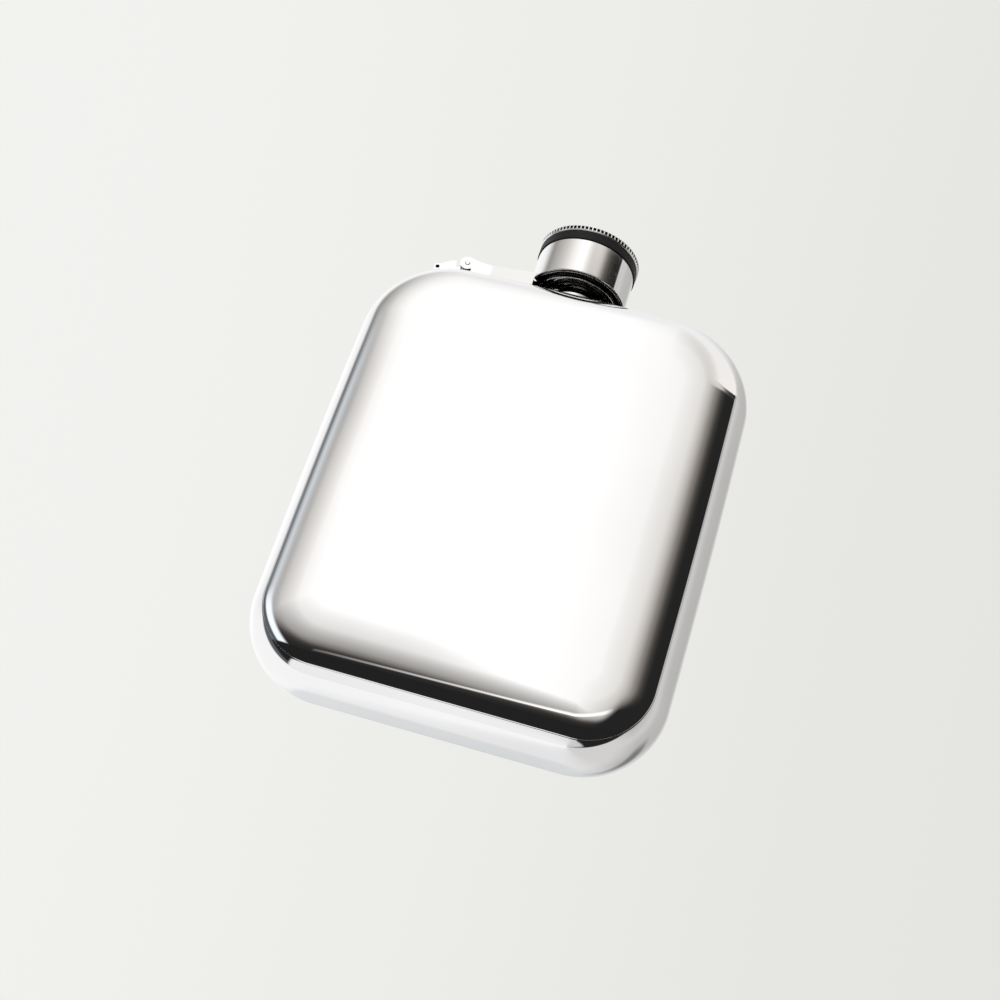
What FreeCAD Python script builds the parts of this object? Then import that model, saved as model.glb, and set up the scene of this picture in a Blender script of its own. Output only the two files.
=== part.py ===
"""Captive-top hip flask: welded body shells, threaded neck, hinged arm and screw cap.

Millimetres.  X runs across the flask, Y runs through its depth with the front at -Y,
and Z runs up.  The origin is the middle of the flat that the flask stands on.
"""
import FreeCAD, Part
import math
import os

from FreeCAD import Vector

# ---------------------------------------------------------------- driving dimensions
# Body outline, seen from the front.  Every arc is tangent to its neighbours.
TOP_CORNER_X = 25.1          # centre of a shoulder corner
TOP_CORNER_Z = 92.5
TOP_CORNER_R = 21.9
SHOULDER_R = 595.0           # shallow arch between the shoulder corners
SIDE_R = 2660.0              # almost straight sides
BASE_CORNER_X = 27.3
BASE_CORNER_R = 18.8
BASE_FLAT = 0.4              # depth cut off the bulged base to make the standing flat

# Body section, measured inwards from the outline and forwards from mid depth.
WALL = 0.8
CREASE_INSET = 3.76          # the panels start this far inside the widest outline
CREASE_Y = 9.4
PANEL_EDGE_ANGLE = 40.0      # how far the panel has turned away from flat at its edge
PANEL_ARCS = ((14.0, 10.0), (3.0, 20.0), (0.0, 90.0))   # (angle reached, arc radius)

# Neck
NECK_BORE_R = 5.0
NECK_ROOT_R = 5.9
NECK_CREST_R = 6.6
NECK_BASE_R = 6.2
NECK_BASE_TOP = 0.9          # heights here and below are above the shoulder's crown
NECK_TOP = 5.66
NECK_FLANGE_R = 7.6
NECK_FLANGE_THICKNESS = 0.8
COLLAR_R = 7.8
COLLAR_THICKNESS = 0.5
THREAD_PITCH = 1.5
THREAD_TURNS = 2.4
THREAD_BASE_HALF = 0.5       # half height of the thread's ridge at its root
THREAD_CREST_HALF = 0.15
THREAD_SINK = 0.15           # how far a ridge is let into its wall

# Hinge
PIN_X = -27.7
PIN_HEIGHT = 1.66
PIN_R = 0.6
PIN_HOLE_R = 0.65
PIN_DOME = 0.15
HINGE_HALF_WIDTH = 4.6
LUG_HALF_WIDTH = 1.7
LUG_EYE_R = 1.6
BOSS_R = 1.85
FORK_GAP = 0.15              # side clearance between the lug and each fork prong
BRACKET_TOP = 3.1            # bracket's height off the shoulder corner
BRACKET_START, BRACKET_END = 102.5, 112.5    # degrees round the shoulder corner
BRACKET_FALL = 1.3           # how much lower the bracket is at its outer end
BRACKET_SEAT_HALF_WIDTH = 3.8
BRACKET_LIP = 0.35           # gap under the bracket outside its seat
BRACKET_EDGE = 0.45          # bevel along its upper edges
CURL_R = 0.95                # rolled outer end of the bracket
CURL_HOLE_R = 0.5
CURL_ANGLE = 114.0
CURL_HEIGHT = 1.05
LUG_START = 97.5
LUG_OVERLAP = 3.0            # degrees that the lug is let into the bracket
LUG_THICKNESS = 1.6

# Arm
ARM_BOTTOM = 0.45
ARM_TOP = 2.6
ARM_BED_GAP = 0.3            # clearance between the arm and the flank under it
APRON_START = 1.3            # how far beyond the pin the arm comes down to that clearance
ARM_RING_HALF_WIDTH = 6.2    # half width of the arm where it reaches the cap
ARM_NECK_X = -21.5           # the boss has blended into the bar here
BOSS_LEAVE_ANGLE = 62.0      # where the bar's upper side leaves the boss
BOSS_DIP = 0.28              # how soon that side comes down, from 0, at once, to 1
APRON_DEPTH = 3.0            # depth of the arm's blank below the crown
BAR_OVERLAP = 2.0            # how far the bar and tongue blanks run into the ring
EYE_CLEARANCE = 0.5
RING_OUTER_R = 11.4
RING_INNER_R = 9.1
RING_BOTTOM = 1.16
RING_THICKNESS = 0.8
TONGUE_BOTTOM = 0.56
TONGUE_TOP = 1.26
TONGUE_INNER_R = 10.3
TONGUE_HALF_WIDTH = 5.4
SKIRT_GAP = 0.2

# Cap
SKIRT_R = 12.12
SKIRT_WALL = 0.57
SKIRT_BOTTOM = 1.41
SKIRT_TOP = 11.16
SKIRT_PLATE = 0.8
SKIRT_EDGE = 0.15
BARREL_R = 8.9
BARREL_BORE_R = 7.5
BARREL_CREST_R = 6.9
BARREL_BOTTOM = 0.71
BARREL_FLANGE_R = 10.2
BARREL_FLANGE_BOTTOM = 2.06
BARREL_FLANGE_THICKNESS = 0.9
BARREL_ROOF = 1.0
STUD_R = 3.0
STUD_TOP = 13.0
SEAL_R = 7.4
SEAL_BOTTOM = 5.71
SEAL_THICKNESS = 1.0
RETAINER_R = 10.0
RETAINER_THICKNESS = 0.37
GROOVE_R = 10.4
BAND_R = 12.4
DISC_R = 12.62
DISC_BOTTOM = 13.66
DISC_THICKNESS = 1.5
DISC_CHAMFER = 0.3
MILLING_TEETH = 80
MILLING_DEPTH = 0.45
MILLING_ROOT_HALF = 0.44     # half widths of a tooth, as parts of the pitch
MILLING_CREST_HALF = 0.20

# Allowances for cutting tools
CUT_DEPTH = 8.0              # how far a tool runs past the part it cuts
CUT_MARGIN = 1.0
FLANGE_SLACK = 0.02          # hairline between the neck flange and the shell

# ---------------------------------------------------------------- worked-out places
BASE_CORNER_Z = BASE_CORNER_R - BASE_FLAT
SHOULDER_CENTRE_Z = TOP_CORNER_Z - math.sqrt((SHOULDER_R - TOP_CORNER_R) ** 2 - TOP_CORNER_X ** 2)
CROWN = SHOULDER_CENTRE_Z + SHOULDER_R
FLANK_R = (CREASE_Y ** 2 + CREASE_INSET ** 2) / (2 * CREASE_INSET)
PIN_Z = CROWN + PIN_HEIGHT


# ---------------------------------------------------------------- small helpers
def cylinder(radius, bottom, top, x=0.0):
    """Upright cylinder; bottom and top are heights above the crown."""
    return Part.makeCylinder(radius, top - bottom, Vector(x, 0, CROWN + bottom))


def ring(outer, inner, bottom, top):
    return cylinder(outer, bottom, top).cut(cylinder(inner, bottom - 1, top + 1))


def cross_pin(radius, half_length, x=PIN_X, z=PIN_Z):
    """Cylinder along Y."""
    return Part.makeCylinder(radius, 2 * half_length, Vector(x, -half_length, z), Vector(0, 1, 0))


def box(x0, x1, y0, y1, z0, z1):
    return Part.makeBox(x1 - x0, y1 - y0, z1 - z0, Vector(x0, y0, z0))


def one_solid(shape):
    """Merge split faces and return the single solid of a finished part."""
    shape = shape.removeSplitter()
    if len(shape.Solids) != 1 or not shape.isValid():
        raise ValueError("expected one valid solid, found %d" % len(shape.Solids))
    return shape.Solids[0]


def heading(start, end):
    """Angle from one (x, z) point to another, in degrees from +X towards +Z."""
    return math.degrees(math.atan2(end[1] - start[1], end[0] - start[0]))


# ---------------------------------------------------------------- body outline
def side_centre():
    """Centre of the right side's arc, which touches both right-hand corners."""
    far = SIDE_R - TOP_CORNER_R
    near = SIDE_R - BASE_CORNER_R
    dx = BASE_CORNER_X - TOP_CORNER_X
    dz = BASE_CORNER_Z - TOP_CORNER_Z
    gap = math.hypot(dx, dz)
    along = (far ** 2 - near ** 2 + gap ** 2) / (2 * gap)
    across = math.sqrt(far ** 2 - along ** 2)
    x = TOP_CORNER_X + (along * dx + across * dz) / gap
    z = TOP_CORNER_Z + (along * dz - across * dx) / gap
    return x, z


def outline_arcs():
    """Arcs of the outline as (centre, radius, start angle, end angle), anticlockwise."""
    side = side_centre()
    shoulder = (0.0, SHOULDER_CENTRE_Z)
    top = (TOP_CORNER_X, TOP_CORNER_Z)
    base = (BASE_CORNER_X, BASE_CORNER_Z)
    side_low = heading(side, base)
    side_high = heading(side, top)
    arch = heading(shoulder, top)
    right = [
        (base, BASE_CORNER_R, -90.0, side_low),
        (side, SIDE_R, side_low, side_high),
        (top, TOP_CORNER_R, side_high, arch),
    ]
    left = [((-c[0], c[1]), r, 180.0 - a1, 180.0 - a0) for c, r, a0, a1 in reversed(right)]
    return right + [(shoulder, SHOULDER_R, arch, 180.0 - arch)] + left


def outline_face(inset, y):
    """Face bounded by the outline moved inwards by inset, at depth y."""
    edges = []
    for centre, radius, start, end in outline_arcs():
        points = []
        for angle in (start, (start + end) / 2, end):
            turn = math.radians(angle)
            reach = radius - inset
            points.append(Vector(centre[0] + reach * math.cos(turn), y, centre[1] + reach * math.sin(turn)))
        edges.append(Part.Arc(*points).toShape())
    base_z = inset - BASE_FLAT
    base = Part.LineSegment(Vector(-BASE_CORNER_X, y, base_z), Vector(BASE_CORNER_X, y, base_z))
    return Part.Face(Part.Wire(edges + [base.toShape()]))


# ---------------------------------------------------------------- sections and sweeps
def section_face(curves, place):
    """Face from (inset, y) curves: two points make a line and three make an arc."""
    edges = []
    for curve in curves:
        points = [place(*point) for point in curve]
        if len(points) == 2:
            edges.append(Part.LineSegment(*points).toShape())
        else:
            edges.append(Part.Arc(*points).toShape())
    return Part.Face(Part.Wire(edges))


def sweep_arc(curves, arc):
    """Turn a section about one arc of the outline."""
    centre, radius, start, end = arc
    turn = math.radians(start)

    def place(inset, y):
        reach = radius - inset
        return Vector(centre[0] + reach * math.cos(turn), y, centre[1] + reach * math.sin(turn))

    axis_point = Vector(centre[0], 0, centre[1])
    return section_face(curves, place).revolve(axis_point, Vector(0, -1, 0), end - start)


def sweep_outline(curves):
    """Carry a section all the way round the body."""
    pieces = [sweep_arc(curves, arc) for arc in outline_arcs()]

    def place(inset, y):
        return Vector(-BASE_CORNER_X, y, inset - BASE_FLAT)

    pieces.append(section_face(curves, place).extrude(Vector(2 * BASE_CORNER_X, 0, 0)))
    return pieces[0].multiFuse(pieces[1:])


def crease_points():
    """Outer and inner ends of the joint between a panel and the side band, at the front."""
    flank_lean = math.degrees(math.asin(CREASE_Y / FLANK_R))
    panel_lean = 90.0 - PANEL_EDGE_ANGLE
    lean = math.radians((flank_lean + panel_lean) / 2)
    reach = WALL / math.cos(math.radians((panel_lean - flank_lean) / 2))
    outer = (CREASE_INSET, -CREASE_Y)
    inner = (CREASE_INSET + reach * math.cos(lean), -CREASE_Y + reach * math.sin(lean))
    return outer, inner


def flip(point):
    return point[0], -point[1]


def panel_curves():
    """Section of the front panel from the crease to its flat middle."""
    outer, inner = crease_points()
    outside = []
    inside = []
    start = outer
    inner_start = inner
    angle = PANEL_EDGE_ANGLE
    for next_angle, radius in PANEL_ARCS:
        turn = math.radians(angle)
        centre = (start[0] + radius * math.sin(turn), start[1] + radius * math.cos(turn))
        marks = []
        for mark in ((angle + next_angle) / 2, next_angle):
            lean = math.radians(mark)
            for reach in (radius, radius - WALL):
                marks.append((centre[0] - reach * math.sin(lean), centre[1] - reach * math.cos(lean)))
        outside.append((start, marks[0], marks[2]))
        inside.append((inner_start, marks[1], marks[3]))
        start = marks[2]
        inner_start = marks[3]
        angle = next_angle
    inside_back = [tuple(reversed(curve)) for curve in reversed(inside)]
    return outside + [(start, inner_start)] + inside_back + [(inner, outer)]


# ---------------------------------------------------------------- body parts
def front_panel():
    curves = panel_curves()
    flat_inset, flat_y = curves[len(PANEL_ARCS)][0]
    middle = outline_face(flat_inset, flat_y).extrude(Vector(0, WALL, 0))
    return one_solid(sweep_outline(curves).fuse(middle))


def back_panel(front):
    return front.mirror(Vector(0, 0, 0), Vector(0, 1, 0))


def side_band():
    outer, inner = crease_points()
    curves = [
        (outer, (0.0, 0.0), flip(outer)),
        (flip(outer), flip(inner)),
        (flip(inner), (WALL, 0.0), inner),
        (inner, outer),
    ]
    band = sweep_outline(curves)
    below = box(-60, 60, -20, 20, -5, 0)
    neck_hole = cylinder(NECK_BASE_R, -CUT_DEPTH, CUT_DEPTH)
    return one_solid(band.cut(below).cut(neck_hole))


def thread_ridge(root_r, crest_r, bottom):
    """Helical ridge whose root is let into a wall of radius root_r."""
    outward = 1 if crest_r > root_r else -1
    sunk_r = root_r - outward * THREAD_SINK
    points = [
        Vector(sunk_r, 0, -THREAD_BASE_HALF),
        Vector(crest_r, 0, -THREAD_CREST_HALF),
        Vector(crest_r, 0, THREAD_CREST_HALF),
        Vector(sunk_r, 0, THREAD_BASE_HALF),
    ]
    helix = Part.makeHelix(THREAD_PITCH, THREAD_PITCH * THREAD_TURNS, root_r)
    sweep = Part.BRepOffsetAPI.MakePipeShell(helix)
    sweep.setFrenetMode(True)
    sweep.add(Part.makePolygon(points + points[:1]))
    sweep.build()
    sweep.makeSolid()
    ridge = sweep.shape()
    ridge.translate(Vector(0, 0, CROWN + bottom))
    return ridge


def neck_tube():
    flange_top = -inner_drop(NECK_FLANGE_R)
    bottom = flange_top - NECK_FLANGE_THICKNESS
    tube = cylinder(NECK_ROOT_R, bottom, NECK_TOP)
    tube = tube.fuse(cylinder(NECK_BASE_R, bottom, NECK_BASE_TOP))
    tube = tube.fuse(cylinder(NECK_FLANGE_R, bottom, flange_top))
    first_turn = NECK_BASE_TOP + THREAD_BASE_HALF
    tube = tube.fuse(thread_ridge(NECK_ROOT_R, NECK_CREST_R, first_turn))
    return one_solid(tube.cut(cylinder(NECK_BORE_R, bottom - 1, NECK_TOP + 1)))


def inner_drop(y):
    """How far the inside of the shoulder lies below the crown at depth y."""
    inner_r = FLANK_R - WALL
    return FLANK_R - math.sqrt(inner_r ** 2 - y ** 2) + FLANGE_SLACK


def flank_point(y, lift):
    """Point of the flank's section at depth y, raised off the surface by lift."""
    radius = FLANK_R + lift
    return FLANK_R - math.sqrt(radius ** 2 - y ** 2), y


def shoulder_arc():
    return outline_arcs()[3]


def left_corner_arc():
    return outline_arcs()[4]


def neck_collar():
    """Thin saddle ring that covers the joint between the neck and the shoulder."""
    edge = COLLAR_R + CUT_MARGIN / 2
    low = [flank_point(y, 0.0) for y in (-edge, 0.0, edge)]
    high = [flank_point(y, COLLAR_THICKNESS) for y in (edge, 0.0, -edge)]
    curves = [tuple(low), (low[2], high[0]), tuple(high), (high[2], low[0])]
    saddle = sweep_arc(curves, shoulder_arc())
    saddle = saddle.common(cylinder(COLLAR_R, -CUT_DEPTH, CUT_DEPTH))
    return one_solid(saddle.cut(cylinder(NECK_BASE_R, -CUT_DEPTH, CUT_DEPTH)))


# ---------------------------------------------------------------- hinge parts
def corner_sweep(curves, start, end):
    centre, radius = left_corner_arc()[:2]
    return sweep_arc(curves, (centre, radius, start, end))


def corner_point(angle, height):
    """Point above the left shoulder corner, at an angle round it."""
    centre, radius = left_corner_arc()[:2]
    turn = math.radians(angle)
    reach = radius + height
    return Vector(centre[0] + reach * math.cos(turn), 0, centre[1] + reach * math.sin(turn))


def bracket_trim():
    """Prism over the bracket that takes its upper side down towards the outer end."""
    inner = corner_point(BRACKET_START, BRACKET_TOP)
    outer = corner_point(BRACKET_END, BRACKET_TOP - BRACKET_FALL)
    high = inner.z + CUT_DEPTH
    far = outer.x - CUT_DEPTH
    side = HINGE_HALF_WIDTH + CUT_MARGIN
    points = [inner, outer, Vector(far, 0, outer.z), Vector(far, 0, high), Vector(inner.x, 0, high)]
    trim = Part.Face(Part.makePolygon(points + points[:1])).extrude(Vector(0, 2 * side, 0))
    trim.translate(Vector(0, -side, 0))
    return trim


def hinge_bracket():
    """Bracket soldered on the shoulder corner, with a rolled end and a lug for the pin."""
    wide = HINGE_HALF_WIDTH
    seat = BRACKET_SEAT_HALF_WIDTH
    roof = -BRACKET_TOP
    foot = [flank_point(y, 0.0) for y in (-seat, 0.0, seat)]
    lip = [flank_point(y, BRACKET_LIP) for y in (seat, wide)]
    corners = [foot[2], lip[0], lip[1], (roof + BRACKET_EDGE, wide), (roof, wide - BRACKET_EDGE)]
    corners += [flip(point) for point in reversed(corners)]
    curves = [tuple(foot)] + list(zip(corners, corners[1:]))
    block = corner_sweep(curves, BRACKET_START, BRACKET_END).cut(bracket_trim())
    side = LUG_HALF_WIDTH
    floor = roof + LUG_THICKNESS
    square = [(roof, -side), (roof, side), (floor, side), (floor, -side)]
    lug_curves = list(zip(square, square[1:] + square[:1]))
    lug = corner_sweep(lug_curves, LUG_START, BRACKET_START + LUG_OVERLAP)
    curl = corner_point(CURL_ANGLE, CURL_HEIGHT)
    rolled = cross_pin(CURL_R, wide, curl.x, curl.z)
    bracket = block.fuse(rolled).fuse(lug).fuse(cross_pin(LUG_EYE_R, side))
    bracket = bracket.cut(cross_pin(CURL_HOLE_R, wide + 1, curl.x, curl.z))
    return one_solid(bracket.cut(cross_pin(PIN_R, side + 1)))


def hinge_pin():
    """Riveted pin whose ends stand just proud of the fork."""
    return cross_pin(PIN_R, HINGE_HALF_WIDTH + PIN_DOME)


def arm_side_profile():
    """Side view of the bar: the eye's boss blends down into a level bar."""
    top = CROWN + ARM_TOP
    bottom = CROWN + ARM_BOTTOM
    end_x = -SKIRT_R + BAR_OVERLAP
    lean = math.radians(BOSS_LEAVE_ANGLE)
    leave = Vector(PIN_X + BOSS_R * math.cos(lean), 0, PIN_Z + BOSS_R * math.sin(lean))
    dip = Vector((leave.x + ARM_NECK_X) / 2, 0, top + BOSS_DIP * (leave.z - top))
    neck = Vector(ARM_NECK_X, 0, top)
    left = Vector(PIN_X - BOSS_R, 0, PIN_Z)
    crest = Vector(PIN_X, 0, PIN_Z + BOSS_R)
    diagonal = BOSS_R * math.sqrt(0.5)
    under_mark = Vector(PIN_X - diagonal, 0, PIN_Z - diagonal)
    drop = math.asin((PIN_Z - bottom) / BOSS_R)
    join = Vector(PIN_X + BOSS_R * math.cos(drop), 0, bottom)
    low = Vector(PIN_X, 0, PIN_Z - BOSS_R)
    far_top = Vector(end_x, 0, top)
    far_bottom = Vector(end_x, 0, bottom)
    mid_turn = -(math.pi / 2 + drop) / 2
    low_mark = Vector(PIN_X + BOSS_R * math.cos(mid_turn), 0, PIN_Z + BOSS_R * math.sin(mid_turn))
    edges = [
        Part.Arc(left, crest, leave),
        Part.Arc(leave, dip, neck),
        Part.LineSegment(neck, far_top),
        Part.LineSegment(far_top, far_bottom),
        Part.LineSegment(far_bottom, join),
        Part.Arc(join, low_mark, low),
        Part.Arc(low, under_mark, left),
    ]
    return Part.Face(Part.Wire([edge.toShape() for edge in edges]))


def arm_plan(half_end):
    """Plan of the bar: parallel at the hinge, then widening towards the cap."""
    wide = HINGE_HALF_WIDTH
    start_x = PIN_X - BOSS_R - 1
    corners = [(start_x, -wide), (ARM_NECK_X, -wide), (-SKIRT_R + BAR_OVERLAP, -half_end)]
    corners += [(x, -y) for x, y in reversed(corners)]
    points = [Vector(x, y, CROWN - CUT_DEPTH) for x, y in corners]
    return Part.Face(Part.makePolygon(points + points[:1]))


def arm_bed(half_width):
    """The shell and the clearance over it, as a tool that hollows the arm's underside."""
    across = (-half_width, 0.0, half_width)
    low = [flank_point(y, -APRON_DEPTH) for y in across]
    high = [flank_point(y, ARM_BED_GAP) for y in reversed(across)]
    curves = [tuple(low), (low[2], high[0]), tuple(high), (high[2], low[0])]
    return sweep_arc(curves, shoulder_arc()).fuse(sweep_arc(curves, left_corner_arc()))


def hinge_arm():
    """Forked arm with a flat ring that the cap turns in."""
    reach = ARM_RING_HALF_WIDTH + 1
    profile = arm_side_profile()
    profile.translate(Vector(0, -reach, 0))
    bar = profile.extrude(Vector(0, 2 * reach, 0))
    bar = bar.fuse(box(PIN_X + APRON_START, -SKIRT_R + BAR_OVERLAP, -reach, reach, CROWN - APRON_DEPTH, PIN_Z))
    bar = bar.cut(arm_bed(reach))
    bar = bar.common(arm_plan(ARM_RING_HALF_WIDTH).extrude(Vector(0, 0, 3 * CUT_DEPTH)))
    bar = bar.cut(cylinder(SKIRT_R + SKIRT_GAP, -CUT_DEPTH, CUT_DEPTH))
    tongue = box(-SKIRT_R - BAR_OVERLAP, -TONGUE_INNER_R + BAR_OVERLAP, -TONGUE_HALF_WIDTH,
                 TONGUE_HALF_WIDTH, CROWN + TONGUE_BOTTOM, CROWN + TONGUE_TOP)
    tongue = tongue.cut(cylinder(TONGUE_INNER_R, -CUT_DEPTH, CUT_DEPTH))
    plate = ring(RING_OUTER_R, RING_INNER_R, RING_BOTTOM, RING_BOTTOM + RING_THICKNESS)
    arm = bar.fuse(tongue).fuse(plate)
    slot_half = LUG_HALF_WIDTH + FORK_GAP
    slot_end = PIN_X + LUG_EYE_R + EYE_CLEARANCE
    slot = box(PIN_X - CUT_DEPTH, slot_end, -slot_half, slot_half, PIN_Z - CUT_DEPTH, PIN_Z + CUT_DEPTH)
    hole = cross_pin(PIN_HOLE_R, HINGE_HALF_WIDTH + 2)
    return one_solid(arm.cut(slot).cut(hole))


# ---------------------------------------------------------------- cap parts
def cap_skirt():
    """Polished sleeve with a closed top plate."""
    skirt = cylinder(SKIRT_R, SKIRT_BOTTOM, SKIRT_TOP)
    rims = [edge for edge in skirt.Edges if abs(edge.Length - 2 * math.pi * SKIRT_R) < 0.01]
    skirt = skirt.makeChamfer(SKIRT_EDGE, rims)
    hollow = cylinder(SKIRT_R - SKIRT_WALL, SKIRT_BOTTOM - 1, SKIRT_TOP - SKIRT_PLATE)
    return one_solid(skirt.cut(hollow).cut(cylinder(STUD_R, SKIRT_BOTTOM, SKIRT_TOP + 1)))


def cap_barrel():
    """Threaded barrel: its flange and the retaining ring trap the arm's ring."""
    seal_top = SEAL_BOTTOM + SEAL_THICKNESS
    plate_bottom = SKIRT_TOP - SKIRT_PLATE
    barrel = cylinder(BARREL_R, BARREL_BOTTOM, plate_bottom)
    flange_top = BARREL_FLANGE_BOTTOM + BARREL_FLANGE_THICKNESS
    barrel = barrel.fuse(cylinder(BARREL_FLANGE_R, BARREL_FLANGE_BOTTOM, flange_top))
    barrel = barrel.cut(cylinder(BARREL_BORE_R, BARREL_BOTTOM - 1, seal_top))
    barrel = barrel.cut(cylinder(BARREL_BORE_R, seal_top + BARREL_ROOF, plate_bottom + 1))
    barrel = barrel.fuse(cylinder(STUD_R, seal_top + BARREL_ROOF / 2, STUD_TOP))
    first_turn = BARREL_BOTTOM + THREAD_BASE_HALF + 0.1
    return one_solid(barrel.fuse(thread_ridge(BARREL_BORE_R, BARREL_CREST_R, first_turn)))


def cap_seal():
    return cylinder(SEAL_R, SEAL_BOTTOM, SEAL_BOTTOM + SEAL_THICKNESS)


def retaining_ring():
    return ring(RETAINER_R, BARREL_R, BARREL_BOTTOM, BARREL_BOTTOM + RETAINER_THICKNESS)


def cap_grip_band():
    """Black band in the groove under the milled disc."""
    return ring(BAND_R, GROOVE_R, SKIRT_TOP, DISC_BOTTOM)


def milled_prism():
    """Toothed disc with a coin-edge milling."""
    pitch = 2 * math.pi / MILLING_TEETH
    root = DISC_R - MILLING_DEPTH
    base, crest = MILLING_ROOT_HALF, MILLING_CREST_HALF
    tooth = ((-base, root), (-crest, DISC_R), (crest, DISC_R), (base, root))
    points = []
    for index in range(MILLING_TEETH):
        for shift, radius in tooth:
            turn = (index + shift) * pitch
            points.append(Vector(radius * math.cos(turn), radius * math.sin(turn), CROWN + DISC_BOTTOM))
    return Part.Face(Part.makePolygon(points + points[:1])).extrude(Vector(0, 0, DISC_THICKNESS))


def cap_top_disc():
    blank = cylinder(DISC_R + 0.01, DISC_BOTTOM, DISC_BOTTOM + DISC_THICKNESS)
    rims = [edge for edge in blank.Edges if edge.Length > 2 * math.pi * DISC_R]
    blank = blank.makeChamfer(DISC_CHAMFER, rims)
    disc = milled_prism().common(blank)
    disc = disc.fuse(cylinder(GROOVE_R, SKIRT_TOP, DISC_BOTTOM + DISC_THICKNESS / 2))
    return one_solid(disc.cut(cylinder(STUD_R, SKIRT_TOP - 1, STUD_TOP)))


# ---------------------------------------------------------------- export
def build_parts():
    front = front_panel()
    return {
        "front_panel": front,
        "back_panel": back_panel(front),
        "side_band": side_band(),
        "neck_tube": neck_tube(),
        "neck_collar": neck_collar(),
        "hinge_bracket": hinge_bracket(),
        "hinge_pin": hinge_pin(),
        "hinge_arm": hinge_arm(),
        "cap_skirt": cap_skirt(),
        "cap_barrel": cap_barrel(),
        "cap_seal": cap_seal(),
        "retaining_ring": retaining_ring(),
        "cap_grip_band": cap_grip_band(),
        "cap_top_disc": cap_top_disc(),
    }


def main():
    os.makedirs("parts", exist_ok=True)
    for name, shape in build_parts().items():
        shape.exportStep("parts/%s.step" % name)
        size = shape.BoundBox
        print("%-15s %8.1f mm3  z %.2f to %.2f" % (name, shape.Volume, size.ZMin, size.ZMax))


main()
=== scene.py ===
"""Looks of the captive-top hip flask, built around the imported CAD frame.  Metres."""
import math

import bmesh
import bpy
import numpy as np
from mathutils import Euler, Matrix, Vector


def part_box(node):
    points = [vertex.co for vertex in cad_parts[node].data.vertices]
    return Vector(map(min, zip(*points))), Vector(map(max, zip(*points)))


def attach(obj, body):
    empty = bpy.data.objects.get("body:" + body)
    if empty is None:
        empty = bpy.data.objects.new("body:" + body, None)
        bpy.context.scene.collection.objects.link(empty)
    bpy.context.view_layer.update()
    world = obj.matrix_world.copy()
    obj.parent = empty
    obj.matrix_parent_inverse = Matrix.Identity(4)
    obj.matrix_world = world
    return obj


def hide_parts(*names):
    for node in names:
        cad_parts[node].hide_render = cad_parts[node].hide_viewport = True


MM = 0.001

# ---------------------------------------------------------------- the frame
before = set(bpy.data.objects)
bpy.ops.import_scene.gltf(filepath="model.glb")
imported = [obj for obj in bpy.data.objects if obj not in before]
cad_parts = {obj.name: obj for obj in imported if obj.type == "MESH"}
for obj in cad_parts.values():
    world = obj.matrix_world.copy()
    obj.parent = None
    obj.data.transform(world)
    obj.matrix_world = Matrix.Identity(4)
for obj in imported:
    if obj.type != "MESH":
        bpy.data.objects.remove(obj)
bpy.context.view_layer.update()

# Body outline and section, in metres, the same arcs as the CAD shells.
TOP_CORNER = (25.1 * MM, 92.5 * MM)
TOP_CORNER_R = 21.9 * MM
SHOULDER_R = 595.0 * MM
SIDE_R = 2660.0 * MM
BASE_CORNER_X = 27.3 * MM
BASE_CORNER_R = 18.8 * MM
BASE_FLAT = 0.4 * MM
CREASE_INSET = 3.76 * MM
CREASE_Y = 9.4 * MM
WALL = 0.8 * MM
PANEL_EDGE_ANGLE = 40.0
PANEL_ARCS = ((14.0, 10.0 * MM), (3.0, 20.0 * MM), (0.0, 90.0 * MM))
SEAM_ROUND = 0.015 * MM      # rounding of the edges beside a seam
FLAT_BLEND = 0.12 * MM       # how softly the standing flat meets the band
FLAT_ZONE = 4.0 * MM         # only points below this height are pressed onto the flat
ARC_POINTS = 22              # points along each arc of a panel's section
MIDDLE_STEPS = (0.94, 0.86, 0.76, 0.64, 0.5, 0.36, 0.22, 0.1)    # rings that close a panel's middle

# Cap pieces, where the frame's boxes don't give the size.
SKIRT_WALL = 0.57 * MM
SKIRT_PLATE = 0.8 * MM
STUD_R = 3.0 * MM
BARREL_R = 8.9 * MM
GROOVE_R = 10.4 * MM
RING_PLATE_R = 11.6 * MM     # the arm's ring and what shows inside it, from below
MILLING_TEETH = 80
MILLING_DEPTH = 0.42 * MM
DISC_R = 12.6 * MM
DISC_THICKNESS = 1.5 * MM
DISC_CHAMFER = 0.2 * MM
DISC_RIM = 0.3 * MM          # plain rims above and below the slots
SLOT_RUN_OUT = 0.12 * MM

# Camera and floor, in metres and degrees. The camera was fitted to the photo's outline.
LENS_MM = 54.0
SENSOR_MM = 36.0
CAMERA_PLACE = (0.03757, -0.29435, -0.10599)
CAMERA_TURN = (120.109, -16.131, -1.453)
FLOOR_Z = -0.26
FLOOR_R = 4.0

FLANK_R = (CREASE_Y ** 2 + CREASE_INSET ** 2) / (2 * CREASE_INSET)
SHOULDER_CENTRE_Z = TOP_CORNER[1] - math.sqrt((SHOULDER_R - TOP_CORNER_R) ** 2 - TOP_CORNER[0] ** 2)
CROWN = SHOULDER_CENTRE_Z + SHOULDER_R


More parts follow.
